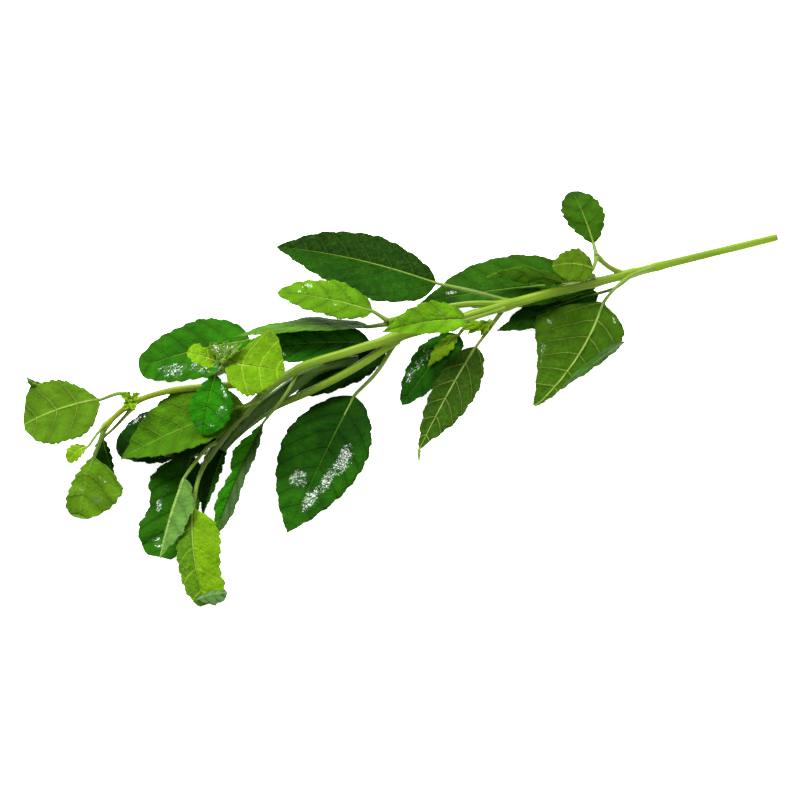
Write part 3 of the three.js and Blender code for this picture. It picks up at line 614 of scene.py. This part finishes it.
def blade_surface(leaf, stations, ts, shares):
    """The blade's middle surface as a grid of points, and the signed reach of each from the midrib."""
    place = between_stations(stations[0], ts)
    side = directions_between_stations(stations[1], ts)
    normal = directions_between_stations(stations[2], ts)
    half = leaf["width"] / 2
    steps = (np.arange(CROSS_STEPS) + 0.5) / CROSS_STEPS
    columns = []
    reaches = []
    for share in shares:
        index = 0 if share >= 0 else 1
        sign = 1 if share >= 0 else -1
        reach = abs(share) * half_width(leaf, ts, index)
        fold = math.radians(leaf["fold"][index])
        curl = math.radians(leaf["curl"][index])
        angle = fold + curl * steps[None, :] * reach[:, None] / half
        outwards = np.cos(angle).mean(axis=1) * reach
        upwards = np.sin(angle).mean(axis=1) * reach
        wave = np.sin(2 * np.pi * leaf["waves"] * ts + WAVE_SHIFT * index)
        upwards += leaf["wave"] * wave * (reach / half) ** 2
        upwards += swell_height(leaf, ts, reach / half, share)
        columns.append(place + side * (sign * outwards)[:, None] + normal * upwards[:, None])
        reaches.append(sign * reach)
    return np.stack(columns, axis=1), np.stack(reaches, axis=1)


def surface_normals(grid):
    down = np.gradient(grid, axis=0)
    over = -np.gradient(grid, axis=1)
    normals = np.cross(down, over)
    return normals / np.maximum(np.linalg.norm(normals, axis=2, keepdims=True), 1e-9)


def wetness(places, ts, shares):
    """How wet each point of the blade is, from 0 to 1."""
    wet = np.zeros((len(ts), len(shares)))
    for t_middle, share_middle, t_size, share_size in places:
        along = ((ts[:, None] - t_middle) / t_size) ** 2
        across = ((shares[None, :] - share_middle) / share_size) ** 2
        wet = np.maximum(wet, np.exp(-along - across))
    return wet


def sheet_faces(top, bottom, rows, across):
    """Faces of a thin closed sheet. top and bottom are the numbers of the first points of its two layers."""
    upper = lambda r, c: top + r * across + c
    lower = lambda r, c: bottom + r * across + c
    last = across - 1
    faces = []
    for r in range(rows):
        for c in range(last):
            faces.append((upper(r, c), upper(r, c + 1), upper(r + 1, c + 1), upper(r + 1, c)))
            faces.append((lower(r, c), lower(r + 1, c), lower(r + 1, c + 1), lower(r, c + 1)))
        faces.append((upper(r, 0), upper(r + 1, 0), lower(r + 1, 0), lower(r, 0)))
        faces.append((upper(r + 1, last), upper(r, last), lower(r, last), lower(r + 1, last)))
    for c in range(last):
        faces.append((upper(0, c), lower(0, c), lower(0, c + 1), upper(0, c + 1)))
        faces.append((upper(rows, c + 1), lower(rows, c + 1), lower(rows, c), upper(rows, c)))
    return faces


def add_blade(build, leaf, stations, rows, columns, number):
    """One blade with both faces, its rim, and the ridge of its midrib."""
    ts = np.linspace(0, 1, rows + 1)
    steps = np.linspace(1, -1, 2 * columns + 1)
    shares = np.sign(steps) * np.abs(steps) ** COLUMN_CROWDING
    middle, reaches = blade_surface(leaf, stations, ts, shares)
    normals = surface_normals(middle)
    edge = np.broadcast_to(np.abs(shares)[None, :], reaches.shape)
    thickness = EDGE_THICKNESS + (BLADE_THICKNESS - EDGE_THICKNESS) * (1 - edge**4)
    slim = (1 - ts[:, None]) ** 0.6
    size = min(1, leaf["width"] / RIB_FULL_BLADE_WIDTH)
    ridge = RIB_RELIEF * slim * np.exp(-((reaches / RIB_HALF_WIDTH) ** 2)) * size
    values = np.stack([np.broadcast_to(ts[:, None], reaches.shape), reaches, edge], axis=2)
    wet = wetness(leaf["wet"], ts, shares)
    starts = []
    for layer in (1, -1):
        is_under = layer != leaf["upside"]
        offset = thickness / 2 + (ridge if is_under else -RIB_GROOVE_SHARE * ridge)
        points = middle + normals * (layer * offset)[:, :, None]
        is_upper = layer * normals[:, :, 2].mean() > 0
        points[:, :, 2] = np.maximum(points[:, :, 2], LOWEST + (BLADE_THICKNESS if is_upper else 0))
        under = np.full(reaches.size, float(is_under))
        starts.append(build.add_points(points.reshape(-1, 3), values.reshape(-1, 3), under, wet.ravel()))
    build.add_faces(sheet_faces(*starts, rows, len(shares)), number)


def add_stalk(build, leaf, stations, number):
    """A leaf's stalk, from the stem to just inside the blade, on the blade's underside."""
    inside_ts = np.array(STALK_IN_BLADE)
    sunk = directions_between_stations(stations[2], inside_ts) * (STALK_BELOW_BLADE * leaf["upside"])
    inside = between_stations(stations[0], inside_ts) - sunk
    outside = [seen(p) for p in (leaf["root"], *leaf["via"])]
    line, lengths = smooth_line([*outside, stations[0][0], *inside], STALK_STEP)
    share = lengths / lengths[-1]
    radii = STALK_RADIUS + (STALK_END_RADIUS - STALK_RADIUS) * share**2
    radii += (STALK_FOOT_RADIUS - STALK_RADIUS) * np.exp(-lengths / STALK_FOOT_LENGTH)
    radii *= min(1, 0.55 + leaf["width"] / 40)
    radii[-1] *= STALK_POINT_SHARE

    def groove(angles):
        from_top = np.minimum(angles, 2 * math.pi - angles)
        return 1 - STALK_GROOVE * np.exp(-((from_top / STALK_GROOVE_ANGLE) ** 2))

    build.add_tube(tube(line, radii, STALK_SIDES, groove), lengths, number, number)


class Graph:
    """Short ways to wire shader nodes."""

    def __init__(self, name):
        self.material = bpy.data.materials.new(name)
        self.material.use_nodes = True
        self.tree = self.material.node_tree
        self.tree.nodes.clear()

    def node(self, kind, **settings):
        made = self.tree.nodes.new(kind)
        for key, value in settings.items():
            setattr(made, key, value)
        return made

    def put(self, socket, value):
        if isinstance(value, bpy.types.NodeSocket):
            self.tree.links.new(value, socket)
        else:
            socket.default_value = value

    def wired(self, kind, inputs, **settings):
        """The outputs of a new node, whose inputs are given by name or by number."""
        made = self.node(kind, **settings)
        for key, value in inputs.items():
            self.put(made.inputs[key], value)
        return made.outputs

    def math(self, operation, *values):
        return self.wired("ShaderNodeMath", dict(enumerate(values)), operation=operation)[0]

    def times(self, first, second):
        return self.math("MULTIPLY", first, second)

    def plus_times(self, total, first, second):
        """total + first * second"""
        return self.math("MULTIPLY_ADD", first, second, total)

    def fade(self, value, start, end, low=1.0, high=0.0):
        """Goes smoothly from low at start to high at end."""
        ends = {"From Min": start, "From Max": end, "To Min": low, "To Max": high}
        return self.wired("ShaderNodeMapRange", {"Value": value, **ends}, interpolation_type="SMOOTHSTEP")[0]

    def mix(self, factor, first, second):
        made = self.node("ShaderNodeMix", data_type="RGBA")
        self.put(made.inputs["Factor"], factor)
        for socket, value in zip([s for s in made.inputs if s.type == "RGBA"], (first, second)):
            self.put(socket, value if isinstance(value, bpy.types.NodeSocket) else colour(value))
        return next(s for s in made.outputs if s.type == "RGBA")

    def noise(self, vector, scale, detail=2.0, roughness=0.5):
        inputs = {"Vector": vector, "Scale": scale, "Detail": detail, "Roughness": roughness}
        return self.wired("ShaderNodeTexNoise", inputs)["Fac"]

    def cells(self, vector, scale):
        inputs = {"Vector": vector, "Scale": scale}
        return self.wired("ShaderNodeTexVoronoi", inputs, feature="DISTANCE_TO_EDGE")["Distance"]

    def parts(self, vector):
        return self.wired("ShaderNodeSeparateXYZ", {0: vector})

    def scaled(self, shade, brightness):
        return self.wired("ShaderNodeVectorMath", {0: shade, "Scale": brightness}, operation="SCALE")[0]

    def dimmed(self, shade):
        """The share of a colour that the strong light calls for."""
        return self.wired("ShaderNodeVectorMath", {0: shade, 1: SKIN_SHARE}, operation="MULTIPLY")[0]

    def bump(self, height, distance):
        return self.wired("ShaderNodeBump", {"Height": height, "Distance": distance})["Normal"]

    def attribute(self, name):
        return self.node("ShaderNodeAttribute", attribute_name=name)

    def object_place(self):
        return self.node("ShaderNodeTexCoord").outputs["Object"]

    def finish(self, shader):
        output = self.node("ShaderNodeOutputMaterial")
        self.tree.links.new(shader, output.inputs["Surface"])
        return self.material


def colour(hex_text):
    """A linear colour from its #rrggbb form."""
    channels = [int(hex_text[i:i + 2], 16) / 255 for i in (1, 3, 5)]
    linear = [c / 12.92 if c <= 0.04045 else ((c + 0.055) / 1.055) ** 2.4 for c in channels]
    return (*linear, 1.0)


def vein_marks(g, leaf, place, t, reach):
    """Where the midrib, the side veins and two nets are, and where the skin swells between side veins."""
    veins = side_veins(leaf)
    size = g.math("ABSOLUTE", reach)
    outward = g.math("DIVIDE", size, leaf["width"] / 2)
    bend = g.times(g.math("POWER", outward, 2.0), VEIN_BEND)
    slant = g.plus_times(bend, outward, VEIN_SLANT)
    even = g.times(g.math("SUBTRACT", t, slant), veins)
    wobble = g.math("SUBTRACT", g.noise(place, WOBBLES_PER_METRE), 0.5)
    phase = g.plus_times(even, wobble, VEIN_WOBBLE)
    from_vein = g.math("PINGPONG", phase, 0.5)
    gap = g.times(from_vein, 0.72 * blade_length(leaf) / veins)
    vein_width = g.plus_times(0.3, outward, -0.14)
    side_vein = g.fade(gap, g.times(vein_width, 0.3), vein_width)
    rib_width = g.plus_times(0.56, t, -0.4)
    return {
        "side_vein": g.times(side_vein, g.fade(t, 0.9, 1.0)),
        "rib": g.fade(size, g.times(rib_width, 0.45), rib_width),
        "net": g.fade(g.cells(place, NET_PER_METRE), 0.0, 0.1),
        "fine_net": g.fade(g.cells(place, FINE_NET_PER_METRE), 0.0, 0.12),
        "swell": g.fade(from_vein, 0.0, 0.4, 0.0, 1.0),
    }


def leaf_shade(g, look, marks, place, reach, edge, under):
    """Colour of both faces: a clouded, speckled top with a lighter margin and, on some leaves, painted light
    and shade on one half, and a paler underside.
    """
    clouds = g.fade(g.noise(place, CLOUDS_PER_METRE, 4.0, 0.6), 0.3, 0.7, 0.0, 1.0)
    speckle = g.fade(g.noise(place, SPECKLES_PER_METRE, 2.0, 0.6), 0.45, 0.7, 0.0, 1.0)
    margin = g.fade(edge, 0.94, 1.0, 0.0, 1.0)
    top = g.mix(clouds, look["top"], look["cloud"])
    # Painted light and shade: one half of the top gets its own colour for how the light falls on it.
    if "painted_light_half" in look:
        top = g.mix(g.fade(reach, -0.3, 0.3), top, look["painted_light_half"])
    top = g.mix(g.times(margin, MARGIN_STRENGTH), top, look["vein"])
    top = g.mix(g.times(speckle, SPECKLE_STRENGTH), top, look["vein"])
    top = g.mix(g.times(marks["net"], NET_STRENGTH), top, look["vein"])
    top = g.mix(g.times(marks["side_vein"], TOP_VEIN_STRENGTH), top, look["vein"])
    below = g.mix(g.times(clouds, UNDER_CLOUD_STRENGTH), look["under"], look["top"])
    below = g.mix(g.times(marks["net"], NET_STRENGTH), below, look["vein"])
    below = g.mix(g.times(marks["side_vein"], UNDER_VEIN_STRENGTH), below, look["vein"])
    return g.mix(under, top, below)


def painted_shade_and_tone(g, look, marks, place, t):
    """How bright the skin is: painted shade along side veins and painted light on the swells between them,
    uneven at random, and on some leaves painted shade at the base.
    """
    vein_relief_and_painted_shade = look["vein_relief_and_painted_shade"]
    tone = g.plus_times(1 - VEIN_PAINTED_SHADE * vein_relief_and_painted_shade, marks["swell"], SWELL_PAINTED_LIGHT * vein_relief_and_painted_shade)
    mottle = g.fade(g.noise(place, MOTTLES_PER_METRE, 3.0, 0.6), 0.3, 0.7, *MOTTLE_RANGE)
    patches = g.fade(g.noise(place, PATCHES_PER_METRE, 3.0, 0.6), 0.35, 0.65, *PATCH_RANGE)
    # Painted shade towards the base of some blades.
    base = g.fade(t, 0.1, 0.75, look["painted_base_shade"], 1.0)
    for factor in (mottle, patches, base):
        tone = g.times(tone, factor)
    return tone


def leaf_relief(g, look, marks, place, under):
    """Heights in millimetres: veins sunk on the top and raised below, and puckers and grain on both faces."""
    sunk_rib = g.times(marks["rib"], -RIB_BUMP)
    grooves = g.plus_times(sunk_rib, marks["side_vein"], -VEIN_RELIEF * look["vein_relief_and_painted_shade"])
    grooves = g.plus_times(grooves, marks["net"], -0.06)
    grooves = g.plus_times(grooves, marks["fine_net"], -0.03)
    ridges = g.plus_times(g.times(marks["net"], 0.08), marks["side_vein"], VEIN_RELIEF)
    height = g.times(grooves, g.math("SUBTRACT", 1.0, under))
    height = g.plus_times(height, ridges, under)
    height = g.plus_times(height, g.noise(place, GRAIN_PER_METRE, 2.0), GRAIN_RELIEF)
    return g.plus_times(height, g.noise(place, PUCKERS_PER_METRE, 3.0, 0.6), PUCKER_RELIEF)


def leaf_material(name, look, leaf):
    """Both faces of a blade, which lets some light through, with its film of water."""
    g = Graph(name)
    place = g.object_place()
    t, reach, edge = g.parts(g.attribute("leaf").outputs["Vector"])
    under = g.attribute("under").outputs["Fac"]
    wet = g.attribute("wet").outputs["Fac"]
    marks = vein_marks(g, leaf, place, t, reach)
    skin = leaf_shade(g, look, marks, place, reach, edge, under)
    skin = g.scaled(skin, painted_shade_and_tone(g, look, marks, place, t))
    rib_strength = g.math("MAXIMUM", g.times(under, 0.95), g.fade(t, 0.1, 0.9, 0.85, 0.35))
    skin = g.mix(g.times(marks["rib"], rib_strength), skin, look["rib"])
    film = g.fade(g.plus_times(g.noise(place, FILM_PER_METRE, 3.0, 0.7), wet, 0.75), 1.0, 1.1, 0.0, 1.0)
    surface = g.wired("ShaderNodeBsdfPrincipled", {
        "Base Color": g.dimmed(skin),
        "Roughness": g.plus_times(DRY_ROUGHNESS, under, UNDER_ROUGHNESS),
        "IOR": 1.4,
        "Specular IOR Level": 0.03,
        "Normal": g.bump(leaf_relief(g, look, marks, place, under), MM),
        "Coat Weight": film,
        "Coat Roughness": WET_ROUGHNESS,
        "Coat IOR": 1.5,
        "Coat Normal": g.bump(g.noise(place, DROPS_PER_METRE), DROP_RELIEF * MM),
    })[0]
    glow = g.wired("ShaderNodeBsdfTranslucent", {"Color": g.dimmed(g.mix(0.4, skin, look["vein"]))})[0]
    return g.finish(g.wired("ShaderNodeMixShader", {0: SHINE_THROUGH, 1: surface, 2: glow})[0])


def stem_material(name, first, second, streak, roughness=0.45, dark_end=None):
    """A tender green stem: streaks along its length and a slow change of shade."""
    g = Graph(name)
    place = g.object_place()
    along = g.parts(g.attribute("leaf").outputs["Vector"])
    stretched = {i: g.times(along[i], size) for i, size in enumerate(STREAK_STRETCH)}
    streaks = g.noise(g.wired("ShaderNodeCombineXYZ", stretched)[0], 1.6, 3.0, 0.6)
    skin = g.mix(g.fade(g.noise(place, 35, 2.0), 0.3, 0.7, 0.0, 1.0), first, second)
    if dark_end:
        skin = g.mix(g.fade(g.parts(place)[0], *DARK_END_X), skin, dark_end)
    skin = g.mix(g.times(g.fade(streaks, 0.45, 0.7, 0.0, 1.0), 0.5), skin, streak)
    height = g.plus_times(g.times(g.noise(place, 1500, 2.0), 0.03), streaks, 0.18)
    return g.finish(g.wired("ShaderNodeBsdfPrincipled", {
        "Base Color": g.dimmed(skin),
        "Roughness": roughness,
        "Specular IOR Level": 0.12,
        "Subsurface Weight": 0.1,
        "Subsurface Radius": (0.001, 0.0015, 0.0005),
        "Normal": g.bump(height, MM),
    })[0])


def table_material():
    """Even pale paint that glows a little, so that the table stays white."""
    g = Graph("table_paint")
    return g.finish(g.wired("ShaderNodeBsdfPrincipled", {
        "Base Color": colour("#f4f4f2"),
        "Roughness": 0.6,
        "Emission Color": (1, 1, 1, 1),
        "Emission Strength": TABLE_GLOW,
    })[0])


def place_piece(piece, node):
    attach(piece, "root")
    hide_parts(node)


def look_of(kind, name):
    return {**LOOK_DEFAULTS, **LOOKS[kind], **LEAF_LOOKS.get(name, {})}


def make_leaf(entry, stalk_skin):
    """One leaf with its stalk, and its flaps if it has any."""
    name = entry["name"]
    leaf = {**LEAF_DEFAULTS, **entry, "wet": WET.get(name, [])}
    stations = midrib(leaf)
    skins = [leaf_material(name + "_skin", look_of(leaf["kind"], name), leaf), stalk_skin]
    build = MeshBuild()
    add_blade(build, leaf, stations, BLADE_ROWS, BLADE_COLUMNS, 0)
    add_stalk(build, leaf, stations, 1)
    for flap_entry in leaf["flaps"]:
        flap = {**FLAP_DEFAULTS, "kind": leaf["kind"], **flap_entry}
        add_blade(build, flap, midrib(flap), FLAP_ROWS, FLAP_COLUMNS, len(skins))
        skins.append(leaf_material(name + "_flap_skin", look_of(flap["kind"], name + "_flap"), flap))
    place_piece(build.build(name + "_blade", skins), name)


def stem_radii(stem, line, lengths, roots):
    """A stem's radius at each of its points, with a swelling where a leaf leaves it."""
    share = lengths / lengths[-1]
    start, end = stem["radius"]
    even = (start + end) / 2
    radii = start + (end - start) * share + (stem.get("thickest", even) - even) * np.sin(np.pi * share)
    for root in roots:
        gaps = np.linalg.norm(line - root, axis=1)
        if gaps.min() < NODE_REACH:
            from_root = (lengths - lengths[gaps.argmin()]) / NODE_LENGTH
            radii = radii + NODE_SWELL * np.exp(-(from_root**2))
    return radii


def stem_section(angles):
    return 1 + STEM_SQUARENESS * np.cos(4 * angles) + STEM_RIBBING * np.cos(12 * angles)


def make_stem(skins):
    """All stems in one piece, with the cut face on the main one."""
    build = MeshBuild()
    roots = [np.array(seen(leaf["root"])) for leaf in LEAVES]
    for stem in STEMS:
        line, lengths = smooth_line([seen(p) for p in stem["points"]], STEM_STEP)
        rings = tube(line, stem_radii(stem, line, lengths, roots), STEM_SIDES, stem_section)
        rings[:, :, 2] = np.maximum(rings[:, :, 2], LOWEST)
        number = stem.get("skin", MAIN_SKIN)
        build.add_tube(rings, lengths, number, CUT_SKIN if stem is STEMS[0] else number)
    place_piece(build.build("stem_skin", skins), "stem")


def make_bud(bud):
    """A few tiny leaves round a small heart."""
    tiny = {**BUD_BLADE, "base": bud["heart"], "wet": WET.get(bud["name"], [])}
    build = MeshBuild()
    for *tip, width in bud["tips"]:
        leaf = {**tiny, "tip": tip, "width": width}
        add_blade(build, leaf, midrib(leaf), FLAP_ROWS, FLAP_COLUMNS, 0)
    heart = seen(bud["heart"])
    line, lengths = smooth_line([heart + Vector((0, 0, h)) for h in BUD_HEART_HEIGHTS], BUD_HEART_STEP)
    radii = BUD_HEART_RADIUS * np.sqrt(np.maximum(0.05, 1 - (2 * lengths / lengths[-1] - 1) ** 2))
    section = lambda angles: 1 + BUD_HEART_RIBBING * np.cos(4 * angles)
    build.add_tube(tube(line, radii, STALK_SIDES, section, up=(1, 0, 0)), lengths, 0, 0)
    usual = {**tiny, "tip": bud["tips"][0][:3], "width": BUD_LEAF_WIDTH}
    skin = leaf_material(bud["name"] + "_skin", look_of(bud["kind"], bud["name"]), usual)
    place_piece(build.build(bud["name"] + "_leaves", [skin]), bud["name"])


def make_table():
    corners = [(x * TABLE_HALF, y * TABLE_HALF, 0) for x, y in ((-1, -1), (1, -1), (1, 1), (-1, 1))]
    mesh = bpy.data.meshes.new("table")
    mesh.from_pydata(corners, [], [(0, 1, 2, 3)])
    mesh.materials.append(table_material())
    add_object("table", mesh)


def make_light(name, place, size, power):
    data = bpy.data.lights.new(name, "AREA")
    data.shape = "RECTANGLE"
    data.size, data.size_y = size
    data.energy = power
    light = add_object(name, data)
    light.location = place
    light.rotation_euler = (-Vector(place)).to_track_quat("-Z", "Y").to_euler()


def make_sky():
    world = bpy.data.worlds.new("studio")
    world.use_nodes = True
    background = world.node_tree.nodes["Background"]
    background.inputs["Color"].default_value = (1, 1, 1, 1)
    background.inputs["Strength"].default_value = SKY_STRENGTH
    bpy.context.scene.world = world


def make_camera():
    data = bpy.data.cameras.new("camera")
    data.sensor_width = SENSOR_WIDTH
    data.lens = SENSOR_WIDTH * VIEW_DISTANCE / FRAME_WIDTH
    camera = add_object("camera", data)
    out = Vector((0, -VIEW_DISTANCE * math.cos(VIEW_ELEVATION), VIEW_DISTANCE * math.sin(VIEW_ELEVATION)))
    camera.location = (out - PLAN_MIDDLE) * MM
    camera.rotation_euler = (math.pi / 2 - VIEW_ELEVATION, 0, 0)
    bpy.context.scene.camera = camera


stalk_skin = stem_material("stalk_skin", "#8ca850", "#7c9c40", "#b0c484")
stem_skin = stem_material("stem_skin", "#9cbc30", "#84a834", "#c0d068", dark_end="#5c7830")
young_stem_skin = stem_material("young_stem_skin", "#a4ac30", "#90a828", "#c8cc60")
# Painted shade: a darker copy of the stem skin, for the strand that lies between two stems.
painted_shade_stem_skin = stem_material("painted_shade_stem_skin", "#4c7014", "#3c600c", "#648828")
cut_face = stem_material("cut_face", "#c3cf8a", "#b4c47a", "#d5dcae", roughness=0.7)

for entry in LEAVES:
    make_leaf(entry, stalk_skin)
for bud in BUDS:
    make_bud(bud)
make_stem([stem_skin, cut_face, young_stem_skin, painted_shade_stem_skin])

make_table()
for name, light in LIGHTS.items():
    make_light(name, **light)
make_sky()
make_camera()
bpy.context.scene.view_settings.view_transform = "Standard"
